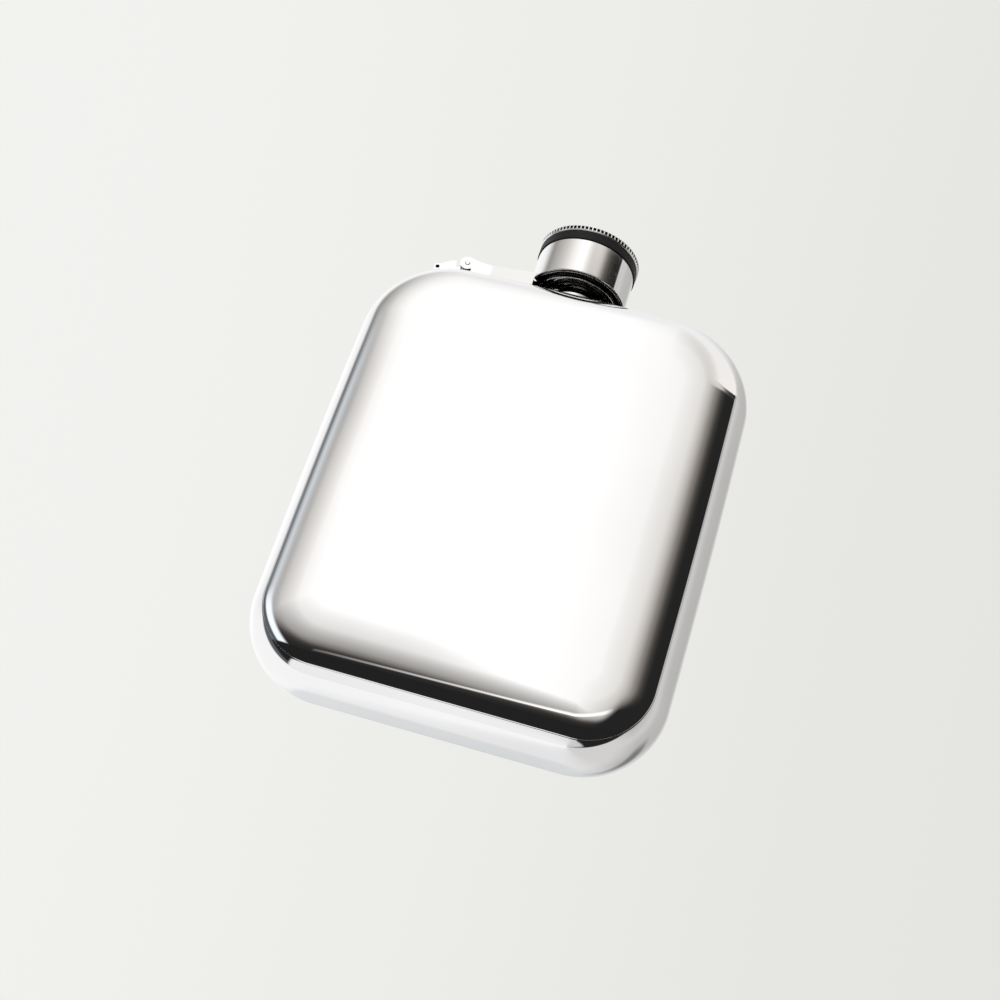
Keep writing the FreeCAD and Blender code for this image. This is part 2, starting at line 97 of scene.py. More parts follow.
# ---------------------------------------------------------------- node helpers
class Nodes:
    """Short names for building a shader tree."""

    def __init__(self, tree):
        self.tree = tree
        tree.nodes.clear()

    def add(self, kind, **inputs):
        node = self.tree.nodes.new(kind)
        for key, value in inputs.items():
            self.put(node, key, value)
        return node

    def put(self, node, key, value):
        if key in node.inputs:
            socket = node.inputs[key]
            if isinstance(value, bpy.types.NodeSocket):
                self.tree.links.new(value, socket)
            else:
                socket.default_value = value
        else:
            setattr(node, key, value)

    def math(self, operation, a, b=0.0, c=0.0):
        node = self.tree.nodes.new("ShaderNodeMath")
        node.operation = operation
        for index, value in enumerate((a, b, c)):
            if isinstance(value, bpy.types.NodeSocket):
                self.tree.links.new(value, node.inputs[index])
            else:
                node.inputs[index].default_value = value
        return node.outputs[0]

    def product(self, first, *others):
        for value in others:
            first = self.math("MULTIPLY", first, value)
        return first

    def fall(self, value, start, end):
        """Smooth step down: 1 below start, 0 above end."""
        return self.ramp(value, start, end, 1.0, 0.0)

    def ramp(self, value, low, high, out_low=0.0, out_high=1.0):
        """Smooth step of a value from low to high."""
        node = self.tree.nodes.new("ShaderNodeMapRange")
        node.interpolation_type = "SMOOTHSTEP"
        self.tree.links.new(value, node.inputs["Value"])
        limits = {"From Min": low, "From Max": high, "To Min": out_low, "To Max": out_high}
        for name, number in limits.items():
            node.inputs[name].default_value = number
        return node.outputs["Result"]

    def ramp_linear(self, value, low, high):
        """Straight ramp from 0 at low to 1 at high."""
        node = self.tree.nodes.new("ShaderNodeMapRange")
        self.tree.links.new(value, node.inputs["Value"])
        node.inputs["From Min"].default_value = low
        node.inputs["From Max"].default_value = high
        return node.outputs["Result"]

    def scale(self, colour, amount):
        node = self.tree.nodes.new("ShaderNodeVectorMath")
        node.operation = "SCALE"
        self.tree.links.new(colour, node.inputs[0])
        node.inputs["Scale"].default_value = amount
        return node.outputs[0]

    def darkest(self, a, b):
        """The lower of two colours, channel by channel."""
        node = self.tree.nodes.new("ShaderNodeVectorMath")
        node.operation = "MINIMUM"
        self.tree.links.new(a, node.inputs[0])
        self.tree.links.new(b, node.inputs[1])
        return node.outputs[0]

    def mix(self, factor, a, b):
        """Mix two colours."""
        node = self.tree.nodes.new("ShaderNodeMix")
        node.data_type = "RGBA"
        for socket, value in ((node.inputs[0], factor), (node.inputs[6], a), (node.inputs[7], b)):
            if isinstance(value, bpy.types.NodeSocket):
                self.tree.links.new(value, socket)
            else:
                socket.default_value = value
        return node.outputs[2]

    def band(self, value, start, end, soft_start, soft_end):
        """1 between start and end, with soft edges."""
        rise = self.ramp(value, start - soft_start / 2, start + soft_start / 2)
        fall = self.fall(value, end - soft_end / 2, end + soft_end / 2)
        return self.product(rise, fall)

    def surface(self, shader):
        """Connect a shader to the material's output."""
        out = self.add("ShaderNodeOutputMaterial")
        self.tree.links.new(shader.outputs[0], out.inputs["Surface"])


def grey(level, warm=0.0):
    """A grey, with red raised and blue lowered by the share warm."""
    return (level * (1 + warm), level, level * (1 - warm), 1.0)


def new_material(name):
    material = bpy.data.materials.new(name)
    material.use_nodes = True
    return material, Nodes(material.node_tree)


def hair_scratches(n, place):
    """Two sets of fine stretched noise, crossing each other."""
    stretch = n.add("ShaderNodeMapping", Vector=place, Scale=(400.0, 400.0, 9000.0))
    n.put(stretch, "Rotation", (0.3, 0.5, 0.9))
    cross = n.add("ShaderNodeMapping", Vector=place, Scale=(7000.0, 500.0, 500.0))
    n.put(cross, "Rotation", (0.1, 0.8, 0.2))
    sets = [n.add("ShaderNodeTexNoise", Vector=mapping.outputs[0], Scale=1.0, Detail=3.0, Roughness=0.7)
            for mapping in (stretch, cross)]
    return n.math("ADD", sets[0].outputs["Fac"], sets[1].outputs["Fac"])


def painted_under_shade(n, place, radius):
    """1 on faces that look down within a radius of the cap's axis: the mask for painted shade on undersides.
    """
    spot = n.add("ShaderNodeSeparateXYZ", Vector=place)
    facing = n.add("ShaderNodeSeparateXYZ", Vector=n.add("ShaderNodeTexCoord").outputs["Normal"])
    x, y = spot.outputs["X"], spot.outputs["Y"]
    reach = n.math("SQRT", n.math("ADD", n.product(x, x), n.product(y, y)))
    inside = n.fall(reach, radius - 0.05 * MM, radius + 0.05 * MM)
    return n.product(inside, n.fall(facing.outputs["Z"], -0.4, -0.2))


def polished_metal(name, tint, rough_low, rough_high, scratch=0.03, wave=0.0, lathe=0.0, grime=0.0,
                   shade_under_r=0.0):
    """Polished metal with haze and hair scratches.

    wave is the depth of a gentle waviness, lathe the strength of turned lines, grime that of dark
    specks, and shade_under_r the radius within which downward faces get painted shade, near black.
    """
    material, n = new_material(name)
    place = n.add("ShaderNodeTexCoord").outputs["Object"]
    haze = n.add("ShaderNodeTexNoise", Vector=place, Scale=90.0, Detail=4.0, Roughness=0.6)
    patch = n.add("ShaderNodeTexNoise", Vector=place, Scale=28.0, Detail=2.0, Roughness=0.5)
    mixed = n.product(haze.outputs["Fac"], patch.outputs["Fac"])
    rough = n.ramp(mixed, 0.16, 0.42, rough_low, rough_high)
    hairs = hair_scratches(n, place)
    bump = n.add("ShaderNodeBump", Height=hairs, Strength=scratch, Distance=0.00002)
    if wave:
        swell = n.add("ShaderNodeTexNoise", Vector=place, Scale=34.0, Detail=1.0, Roughness=0.4)
        below = bump.outputs["Normal"]
        bump = n.add("ShaderNodeBump", Height=swell.outputs["Fac"], Strength=1.0, Distance=wave, Normal=below)
    if lathe:
        axis = n.add("ShaderNodeSeparateXYZ", Vector=place)
        ridge = n.math("SINE", n.product(axis.outputs["Z"], 26000.0))
        below = bump.outputs["Normal"]
        bump = n.add("ShaderNodeBump", Height=ridge, Strength=lathe, Distance=0.00001, Normal=below)
    dull = tuple(c * 0.965 for c in tint[:3]) + (1.0,)
    colour = n.mix(n.ramp(patch.outputs["Fac"], 0.35, 0.7), dull, tint)
    if grime:
        dirt = n.add("ShaderNodeTexNoise", Vector=place, Scale=420.0, Detail=3.0, Roughness=0.6)
        spots = n.ramp(dirt.outputs["Fac"], 0.60, 0.72, 0.0, grime)
        colour = n.mix(spots, colour, (0.10, 0.09, 0.08, 1.0))
    if shade_under_r:
        # painted shade: downward faces near the cap's axis are darkened to near black, for the shade under
        # the arm's ring
        colour = n.mix(painted_under_shade(n, place, shade_under_r), colour, (0.035, 0.034, 0.034, 1.0))
    shader = n.add("ShaderNodeBsdfPrincipled", Metallic=1.0, Roughness=rough, Normal=bump.outputs["Normal"])
    n.put(shader, "Base Color", colour)
    n.surface(shader)
    return material


def rubber(name, colour, roughness, speck, specular=0.5):
    """Matt rubber with a fine mottled grain."""
    material, n = new_material(name)
    place = n.add("ShaderNodeTexCoord").outputs["Object"]
    grain = n.add("ShaderNodeTexNoise", Vector=place, Scale=2600.0, Detail=3.0, Roughness=0.6)
    cloud = n.add("ShaderNodeTexNoise", Vector=place, Scale=300.0, Detail=2.0, Roughness=0.5)
    light = tuple(c * (1 + speck) for c in colour[:3]) + (1.0,)
    tone = n.mix(n.ramp(cloud.outputs["Fac"], 0.3, 0.7), colour, light)
    rough = n.ramp(grain.outputs["Fac"], 0.3, 0.7, roughness - 0.08, roughness + 0.08)
    bump = n.add("ShaderNodeBump", Height=grain.outputs["Fac"], Strength=0.25, Distance=0.00003)
    shader = n.add("ShaderNodeBsdfPrincipled", Roughness=rough, Normal=bump.outputs["Normal"])
    n.put(shader, "Base Color", tone)
    n.put(shader, "Specular IOR Level", specular)
    n.surface(shader)
    return material


STEEL = polished_metal("polished_shell", (0.86, 0.86, 0.86, 1.0), 0.015, 0.05, scratch=0.01, wave=0.00003)
# the hinge steel gets painted shade, near black, on its downward faces within RING_PLATE_R of the cap's axis
HINGE = polished_metal("hinge_steel", (0.84, 0.835, 0.83, 1.0), 0.05, 0.12, scratch=0.06, shade_under_r=RING_PLATE_R)
CAP = polished_metal("polished_cap", (0.86, 0.855, 0.85, 1.0), 0.03, 0.09, scratch=0.04)
TURNED = polished_metal("turned_barrel", (0.20, 0.197, 0.194, 1.0), 0.16, 0.3, scratch=0.02, lathe=0.05)
NECK = polished_metal("turned_neck", (0.80, 0.797, 0.79, 1.0), 0.08, 0.16, scratch=0.04, lathe=0.15)
MILLED = polished_metal("milled_steel", (0.84, 0.84, 0.84, 1.0), 0.05, 0.12, scratch=0.05, grime=0.05)
# near-black metal laid in the milling slots as painted shade
SLOT_SHADE = polished_metal("slot_shadow", (0.045, 0.045, 0.048, 1.0), 0.25, 0.4, scratch=0.2)
# black rubber for the band under the milled disc; its near-black also stands in for the shade in that recess,
# so it is partly painted shade
BLACK_BAND = rubber("black_band", (0.004, 0.004, 0.0045, 1.0), 0.5, 0.6, 0.25)
SEAL = rubber("seal_rubber", (0.62, 0.60, 0.54, 1.0), 0.6, 0.08)


# ---------------------------------------------------------------- mesh helpers
def mesh_object(name, verts, faces, material, body, sharp=None, weighted=False):
    """New smooth-shaded piece that rides on a body; sharp is the angle kept as an edge, in degrees."""
    mesh = bpy.data.meshes.new(name)
    mesh.from_pydata([tuple(v) for v in verts], [], faces)
    mesh.validate()
    piece = bpy.data.objects.new(name, mesh)
    bpy.context.scene.collection.objects.link(piece)
    tidy_mesh(mesh)
    mesh.shade_smooth()
    if sharp:
        mesh.set_sharp_from_angle(angle=math.radians(sharp))
    if weighted:
        modifier = piece.modifiers.new("normals", "WEIGHTED_NORMAL")
        modifier.keep_sharp = True
    mesh.materials.append(material)
    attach(piece, body)
    return piece


def tidy_mesh(mesh):
    """Merge doubled points and turn every face outwards."""
    work = bmesh.new()
    work.from_mesh(mesh)
    bmesh.ops.remove_doubles(work, verts=work.verts, dist=1e-7)
    bmesh.ops.dissolve_degenerate(work, edges=work.edges, dist=1e-8)
    bmesh.ops.recalc_face_normals(work, faces=work.faces)
    work.to_mesh(mesh)
    work.free()


def grid_faces(rows, columns, closed_rows, closed_columns):
    """Quads of a grid of points, closed round either way as asked."""
    faces = []
    for i in range(rows if closed_rows else rows - 1):
        for j in range(columns if closed_columns else columns - 1):
            a = i * columns + j
            b = i * columns + (j + 1) % columns
            c = ((i + 1) % rows) * columns + (j + 1) % columns
            d = ((i + 1) % rows) * columns + j
            faces.append((a, b, c, d))
    return faces


def lathe(name, profile, material, body, sides=160):
    """Solid of revolution about the cap's axis from a closed (radius, height) profile."""
    verts = []
    for index in range(sides):
        turn = 2 * math.pi * index / sides
        for radius, height in profile:
            verts.append((radius * math.cos(turn), radius * math.sin(turn), height))
    faces = grid_faces(sides, len(profile), True, True)
    return mesh_object(name, verts, faces, material, body, sharp=40, weighted=True)


def rounded(profile, radius, count=4):
    """Round the corners of a closed profile; a point may carry its own radius as a third value."""
    result = []
    total = len(profile)
    for index in range(total):
        here = Vector(profile[index][:2])
        size = profile[index][2] if len(profile[index]) > 2 else radius
        before = Vector(profile[index - 1][:2]) - here
        after = Vector(profile[(index + 1) % total][:2]) - here
        if size <= 0 or before.length < 1e-9 or after.length < 1e-9:
            result.append(tuple(here))
            continue
        half = before.angle(after) / 2
        cut = min(size / math.tan(half), before.length * 0.45, after.length * 0.45)
        first = here + before.normalized() * cut
        last = here + after.normalized() * cut
        for step in range(count + 1):
            t = step / count
            result.append(tuple(first * (1 - t) ** 2 + here * 2 * t * (1 - t) + last * t ** 2))
    return result


# ---------------------------------------------------------------- body outline
def heading(start, end):
    """Angle from one point to another, in degrees from the first axis."""
    return math.degrees(math.atan2(end[1] - start[1], end[0] - start[0]))


def side_centre():
    """Centre of the side arc, tangent to the base corner and the top corner."""
    base = (BASE_CORNER_X, BASE_CORNER_R - BASE_FLAT)
    far = SIDE_R - TOP_CORNER_R
    near = SIDE_R - BASE_CORNER_R
    dx = base[0] - TOP_CORNER[0]
    dz = base[1] - TOP_CORNER[1]
    gap = math.hypot(dx, dz)
    along = (far ** 2 - near ** 2 + gap ** 2) / (2 * gap)
    across = math.sqrt(far ** 2 - along ** 2)
    return TOP_CORNER[0] + (along * dx + across * dz) / gap, TOP_CORNER[1] + (along * dz - across * dx) / gap


def outline():
    """Points and outward directions round the widest outline, anticlockwise from the base."""
    base = (BASE_CORNER_X, BASE_CORNER_R - BASE_FLAT)
    side = side_centre()
    arch = (0.0, SHOULDER_CENTRE_Z)
    side_low = heading(side, base)
    side_high = heading(side, TOP_CORNER)
    lean = heading(arch, TOP_CORNER)
    right = [
        (base, BASE_CORNER_R, -90.0, side_low, 40),
        (side, SIDE_R, side_low, side_high, 36),
        (TOP_CORNER, TOP_CORNER_R, side_high, lean, 40),
        (arch, SHOULDER_R, lean, 90.0, 14),
    ]
    points = []
    normals = []
    for centre, radius, start, end, count in right:
        for turn in np.radians(np.linspace(start, end, count, endpoint=False)):
            points.append((centre[0] + radius * math.cos(turn), centre[1] + radius * math.sin(turn)))
            normals.append((math.cos(turn), math.sin(turn)))
    points.append((0.0, CROWN))
    normals.append((0.0, 1.0))
    mirrored = [((-p[0], p[1]), (-m[0], m[1])) for p, m in zip(points, normals)]
    for point, normal in reversed(mirrored[:-1]):
        points.append(point)
        normals.append(normal)
    for x in np.linspace(-BASE_CORNER_X, BASE_CORNER_X, 22)[1:-1]:
        points.append((x, -BASE_FLAT))
        normals.append((0.0, -1.0))
    return np.array(points), np.array(normals)


OUTLINE, OUTWARD = outline()


def swept(section):
    """Carry an (inset, y) section round the outline: one row of points for each section point."""
    rows = []
    for inset, y in section:
        flat = OUTLINE - OUTWARD * inset
        rows.append(np.column_stack([flat[:, 0], np.full(len(flat), y), flat[:, 1]]))
    return np.array(rows)


def crease_ends():
    """Outer and inner end of the mitred joint between a panel and the band."""
    flank_lean = math.degrees(math.asin(CREASE_Y / FLANK_R))
    panel_lean = 90.0 - PANEL_EDGE_ANGLE
    lean = math.radians((flank_lean + panel_lean) / 2)
    reach = WALL / math.cos(math.radians((panel_lean - flank_lean) / 2))
    outer = (CREASE_INSET, -CREASE_Y)
    return outer, (outer[0] + reach * math.cos(lean), outer[1] + reach * math.sin(lean))


def panel_section():
    """Outer then inner run of the front panel's section, from the crease to the flat middle."""
    outer, inner = crease_ends()
    outside = []
    inside = []
    start = outer
    angle = PANEL_EDGE_ANGLE
    for next_angle, radius in PANEL_ARCS:
        turn = math.radians(angle)
        centre = (start[0] + radius * math.sin(turn), start[1] + radius * math.cos(turn))
        marks = np.radians(np.linspace(angle, next_angle, ARC_POINTS))
        for mark in marks[1:] if outside else marks:
            outside.append((centre[0] - radius * math.sin(mark), centre[1] - radius * math.cos(mark)))
            deep = radius - WALL
            inside.append((centre[0] - deep * math.sin(mark), centre[1] - deep * math.cos(mark)))
        start = outside[-1]
        angle = next_angle
    inside[0] = inner
    return outside, inside[::3] + [inside[-1]]


def seam_rounding(edge, along, inwards):
    """Three points that round an edge: back along the surface, then down the joint."""
    a = Vector(edge) + Vector(along).normalized() * SEAM_ROUND
    b = Vector(edge) + Vector(inwards).normalized() * SEAM_ROUND
    middle = Vector(edge) * 0.5 + (a + b) * 0.25
    return tuple(a), tuple(middle), tuple(b)


def panel(name, node, front):
    """One pressed shell: rolled edge, soft crown and flat middle, closed with its inner skin."""
    outside, inside = panel_section()
    outer, inner = crease_ends()
    along = Vector(outside[1]) - Vector(outside[0])
    a, b, c = seam_rounding(outer, along, Vector(inner) - Vector(outer))
    run = [c, b, a] + [p for p in outside[1:] if (Vector(p) - Vector(outer)).length > 2 * SEAM_ROUND]
    skin = swept(run + inside[::-1])
    turns = len(OUTLINE)
    verts = skin.reshape(-1, 3)
    outer_end = len(run) - 1
    faces = grid_faces(len(skin), turns, True, True)
    faces = [face for face in faces if not bridge(face, outer_end, turns)]
    middle = [shrink(skin[outer_end], step) for step in MIDDLE_STEPS]
    inner_middle = [shrink(skin[outer_end + 1], 0.5)]
    verts, faces = fill_rings(verts, faces, outer_end * turns, middle, turns)
    verts, faces = fill_rings(verts, faces, (outer_end + 1) * turns, inner_middle, turns)
    if not front:
        verts = verts * np.array([1, -1, 1])
    piece = mesh_object(name, verts, faces, STEEL, "flask")
    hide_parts(node)


def bridge(face, row, turns):
    """True for a face that joins the outer skin's last row to the inner skin's first."""
    rows = {v // turns for v in face}
    return rows == {row, row + 1}


def shrink(ring, scale):
    """Copy of a ring of points, scaled about its centre."""
    centre = ring.mean(axis=0)
    return centre + (ring - centre) * scale


def fill_rings(verts, faces, start, rings, turns):
    """Close a flat opening with shrinking rings and a last fan."""
    previous = start
    for ring in rings:
        base = len(verts)
        verts = np.vstack([verts, ring])
        for j in range(turns):
            k = (j + 1) % turns
            faces.append((previous + j, previous + k, base + k, base + j))
        previous = base
    centre = len(verts)
    verts = np.vstack([verts, verts[previous:previous + turns].mean(axis=0)])
    faces += [(previous + j, previous + (j + 1) % turns, centre) for j in range(turns)]
    return verts, faces


def side_band():
    """The bulged band between the panels, with the standing flat blended into its base."""
    outer, inner = crease_ends()
    reach = math.asin(CREASE_Y / FLANK_R)
    turns = np.linspace(-reach, reach, 61)
    outside = [(FLANK_R - FLANK_R * math.cos(t), FLANK_R * math.sin(t)) for t in turns]
    along = Vector(outside[1]) - Vector(outside[0])
    a, b, c = seam_rounding(outer, along, Vector(inner) - Vector(outer))
    core = [p for p in outside if CREASE_Y - abs(p[1]) > 2 * SEAM_ROUND]
    start = [c, b, a]
    end = [(inset, -y) for inset, y in reversed(start)]
    deep = FLANK_R - WALL
    far = math.asin(abs(inner[1]) / deep)
    inside = [(FLANK_R - deep * math.cos(t), deep * math.sin(t)) for t in np.linspace(far, -far, 13)]
    section = start + core + end + inside
    skin = swept(section)
    verts = skin.reshape(-1, 3)
    outer_points = (len(section) - len(inside)) * len(OUTLINE)
    z = verts[:outer_points, 2]
    pressed = 0.5 * (z + np.sqrt(z * z + FLAT_BLEND * FLAT_BLEND))
    verts[:outer_points, 2] = np.where(z < FLAT_ZONE, pressed, z)
    faces = grid_faces(len(skin), len(OUTLINE), True, True)
    piece = mesh_object("side_band_skin", verts, faces, STEEL, "flask")
    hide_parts("side_band")


# ---------------------------------------------------------------- pieces made from the CAD nodes
def refined(name, node, material, body, bevel):
    """Softly bevelled copy of a CAD node."""
    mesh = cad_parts[node].data.copy()
    mesh.name = name
    mesh.materials.clear()
    piece = bpy.data.objects.new(name, mesh)
    bpy.context.scene.collection.objects.link(piece)
    work = bmesh.new()
    work.from_mesh(mesh)
    bmesh.ops.remove_doubles(work, verts=work.verts, dist=2e-6)
    bmesh.ops.dissolve_degenerate(work, edges=work.edges, dist=1e-6)
    bmesh.ops.dissolve_limit(work, angle_limit=math.radians(0.5), verts=work.verts, edges=work.edges)
    bmesh.ops.recalc_face_normals(work, faces=work.faces)
    work.to_mesh(mesh)
    work.free()
    mesh.shade_smooth()
    modifier = piece.modifiers.new("edge", "BEVEL")
    modifier.width = bevel
    modifier.segments = 3
    modifier.limit_method = "ANGLE"
    modifier.angle_limit = math.radians(35)
    modifier.harden_normals = False
    weighted = piece.modifiers.new("normals", "WEIGHTED_NORMAL")
    weighted.keep_sharp = True
    mesh.materials.append(material)
    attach(piece, body)
    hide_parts(node)


def keep_cad(node, material):
    """Give a CAD node that stays as it is a better finish."""
    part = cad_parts[node]
    for slot in part.material_slots:
        slot.material = material
    if not part.material_slots:
        part.data.materials.append(material)


# ---------------------------------------------------------------- cap pieces
def cap_piece(name, node, profile, material, sides):
    """Turned cap piece that stands for a CAD node."""
    piece = lathe(name, profile, material, "cap", sides=sides)
    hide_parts(node)


def cap_sleeve():
    low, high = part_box("cap_skirt")
    bottom, top, radius = low.z, high.z, high.x
    hollow_top = top - SKIRT_PLATE
    profile = rounded([
        (radius - SKIRT_WALL, bottom, 0.08 * MM), (radius, bottom, 0.12 * MM), (radius, top, 0.16 * MM),
        (STUD_R, top, 0), (STUD_R, hollow_top, 0), (radius - SKIRT_WALL, hollow_top, 0.3 * MM),
    ], 0.1 * MM)
    cap_piece("cap_sleeve", "cap_skirt", profile, CAP, 192)


def black_grip_band():
    low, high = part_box("cap_grip_band")
    profile = rounded([
        (GROOVE_R, low.z, 0), (high.x, low.z, 0.2 * MM),
        (high.x, high.z, 0.2 * MM), (GROOVE_R, high.z, 0)], 0)
    # the band's near-black is partly painted shade of the recess under the disc
    cap_piece("black_grip_band", "cap_grip_band", profile, BLACK_BAND, 160)


def barrel_retaining_ring():
    low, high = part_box("retaining_ring")
    corners = [(BARREL_R, low.z), (high.x, low.z), (high.x, high.z), (BARREL_R, high.z)]
    cap_piece("barrel_retaining_ring", "retaining_ring", rounded(corners, 0.1 * MM), CAP, 128)


def sealing_disc():
    low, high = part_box("cap_seal")
    profile = rounded([
        (0.0, low.z, 0), (high.x, low.z, 0.15 * MM), (high.x, high.z, 0.15 * MM), (0.0, high.z, 0)], 0)
    cap_piece("sealing_disc", "cap_seal", profile, SEAL, 96)


def milled_disc():
    """Top disc with coin-edge milling: painted shade in the slots between bright lands, closed by plain rims.
    """
    low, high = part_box("cap_top_disc")
    top = high.z
    bottom = top - DISC_THICKNESS
    flat_r = DISC_R - DISC_CHAMFER
    inner_r = flat_r - MILLING_DEPTH
    soft = 0.3 * DISC_CHAMFER
    # radius, height, and 1 where the milling cuts in
    profile = [
        (0.0, low.z, 0), (GROOVE_R, low.z, 0), (GROOVE_R, bottom, 0), (inner_r, bottom, 0),
        (flat_r, bottom, 0), (DISC_R - soft, bottom + soft, 0),
        (DISC_R, bottom + DISC_CHAMFER, 0), (DISC_R, bottom + DISC_RIM, 0),
        (DISC_R, bottom + DISC_RIM + SLOT_RUN_OUT, 1), (DISC_R, top - DISC_RIM - SLOT_RUN_OUT, 1),
        (DISC_R, top - DISC_RIM, 0), (DISC_R, top - DISC_CHAMFER, 0),
        (DISC_R - soft, top - soft, 0), (flat_r, top, 0), (inner_r, top, 0), (0.0, top, 0),
    ]
    per_tooth = 16
    count = MILLING_TEETH * per_tooth
    verts = []
    for index in range(count):
        turn = 2 * math.pi * index / count
        cut = MILLING_DEPTH * slot_depth((index % per_tooth) / per_tooth)
        for radius, height, milled in profile:
            reach = radius - (cut if milled else 0.0)
            verts.append((reach * math.cos(turn), reach * math.sin(turn), height))
    faces = grid_faces(count, len(profile), True, False)
    piece = mesh_object("milled_top_disc", verts, faces, MILLED, "cap", sharp=50, weighted=True)
    piece.data.materials.append(SLOT_SHADE)
    # faces deep in the slots get the painted slot shade
    for face in piece.data.polygons:
        reach = math.hypot(face.center.x, face.center.y)
        between_rims = bottom + DISC_RIM < face.center.z < top - DISC_RIM
        if between_rims and GROOVE_R < reach < DISC_R - 0.3 * MILLING_DEPTH:
            face.material_index = 1
    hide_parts("cap_top_disc")


def slot_depth(phase):
    """Depth across one tooth pitch: a flat-bottomed slot with short sloping sides."""
    from_middle = abs(phase - 0.5)
    return min(1.0, max(0.0, (0.34 - from_middle) / 0.10))


# ---------------------------------------------------------------- camera, light and stage
def make_camera():
    data = bpy.data.cameras.new("camera")
    data.lens = LENS_MM
    data.sensor_width = SENSOR_MM
    data.clip_start = 0.01
    camera = bpy.data.objects.new("camera", data)
    camera.location = CAMERA_PLACE
    camera.rotation_euler = Euler([math.radians(angle) for angle in CAMERA_TURN], "XYZ")
    bpy.context.scene.collection.objects.link(camera)
    bpy.context.scene.camera = camera


def stops_ramp(n, value, low, high, stops):
    """Colour along a value, from (value, colour) stops."""
    node = n.add("ShaderNodeValToRGB")
    ramp = node.color_ramp
    while len(ramp.elements) < len(stops):
        ramp.elements.new(0.5)
    for element, (place, colour) in zip(ramp.elements, stops):
        element.position = (place - low) / (high - low)
        element.color = colour
    n.tree.links.new(n.ramp_linear(value, low, high), node.inputs["Fac"])
    return node.outputs["Color"]


# The studio as the steel sees it, as (angle, brightness, warmth) stops. The walls go by azimuth in
# degrees from straight in front, and LEFT_HIGH is the left wall as the cap sees it, higher up. DUSK
# goes by height, with the dark studio low down in front. The levels come from brightness
# readings of the photo, rounded and then tuned.
LEFT_WALL = (
    (-180, 0.86, 0.00), (-165, 1.03, 0.00), (-135, 1.16, 0.00), (-112, 1.00, 0.00), (-99, 0.70, 0.00),
    (-93, 0.26, -0.02), (-85, 0.24, -0.06), (-78, 0.58, -0.05), (-71, 0.76, -0.05), (-64, 0.62, -0.03),
    (-55, 0.51, 0.01), (-47, 0.57, 0.03), (-36, 0.77, 0.03), (-25, 0.97, 0.03), (-16, 1.22, 0.01),
    (-7, 1.36, 0.00), (0, 1.02, 0.02),
)
LEFT_HIGH = (
    (-180, 0.86, 0.00), (-135, 1.10, 0.00), (-112, 1.00, 0.00), (-104, 0.77, 0.00), (-98, 0.56, 0.01),
    (-92, 0.36, 0.02), (-86, 0.355, 0.03), (-78, 0.44, 0.03), (-66, 0.54, 0.03), (-54, 0.67, 0.03),
    (-42, 0.85, 0.03), (-30, 1.06, 0.02), (-16, 1.22, 0.01), (-7, 1.30, 0.00), (0, 1.02, 0.02),
)
RIGHT_WALL = (
    (0, 1.02, 0.02), (7, 0.82, 0.03), (14, 0.63, 0.04), (19, 0.45, 0.06), (24, 0.26, 0.08),
    (30, 0.125, 0.10), (38, 0.054, 0.10), (48, 0.024, 0.04), (56, 0.020, 0.00), (77, 0.020, 0.00),
    (80, 0.50, 0.02), (87, 0.58, 0.02), (100, 0.69, 0.02), (113, 0.57, 0.02), (145, 0.52, 0.02),
    (160, 0.70, 0.01), (180, 0.86, 0.00),
)
DUSK = (
    (-30, 0.020, 0.00), (-20, 0.027, 0.05), (-14, 0.045, 0.08), (-10, 0.085, 0.10), (-5, 0.22, 0.06),
    (0, 0.40, 0.04), (5, 0.52, 0.03), (10, 0.66, 0.025), (15, 0.83, 0.02), (20, 1.05, 0.01), (26, 1.40, 0.00),
)
WALL_PEAK = 1.4


def wall_stops(stops):
    """Stops as colours, scaled down by the peak so that a colour ramp can hold them."""
    return [(place, grey(level / WALL_PEAK, warm)) for place, level, warm in stops]


def side_walls(n, azimuth, elevation):
    """Paper walls, strip light and dark flag, with the flag open above its top edge."""
    # the flag leans outwards at the height where the cap sees it
    lean = n.product(n.band(elevation, 37.2, 39.9, 0.8, 0.8), n.ramp(azimuth, 10.0, 36.0),
                     n.fall(azimuth, 84.0, 89.0))
    shift = n.product(lean, n.ramp(azimuth, 50.0, 95.0, 20.0, 25.0))
    left = stops_ramp(n, azimuth, -180.0, 0.0, wall_stops(LEFT_WALL))
    left_high = stops_ramp(n, azimuth, -180.0, 0.0, wall_stops(LEFT_HIGH))
    left = n.mix(n.ramp(elevation, 30.0, 35.5), left, left_high)
    right = stops_ramp(n, n.math("SUBTRACT", azimuth, shift), 0.0, 180.0, wall_stops(RIGHT_WALL))
    colour = n.scale(n.mix(n.math("GREATER_THAN", azimuth, 0.0), left, right), WALL_PEAK)
    over = n.product(n.ramp(elevation, 36.2, 41.0), n.ramp(azimuth, 2.0, 30.0),
                     n.math("SUBTRACT", 1.0, lean), n.fall(azimuth, 84.0, 96.0))
    return n.mix(over, colour, grey(1.0, 0.03))


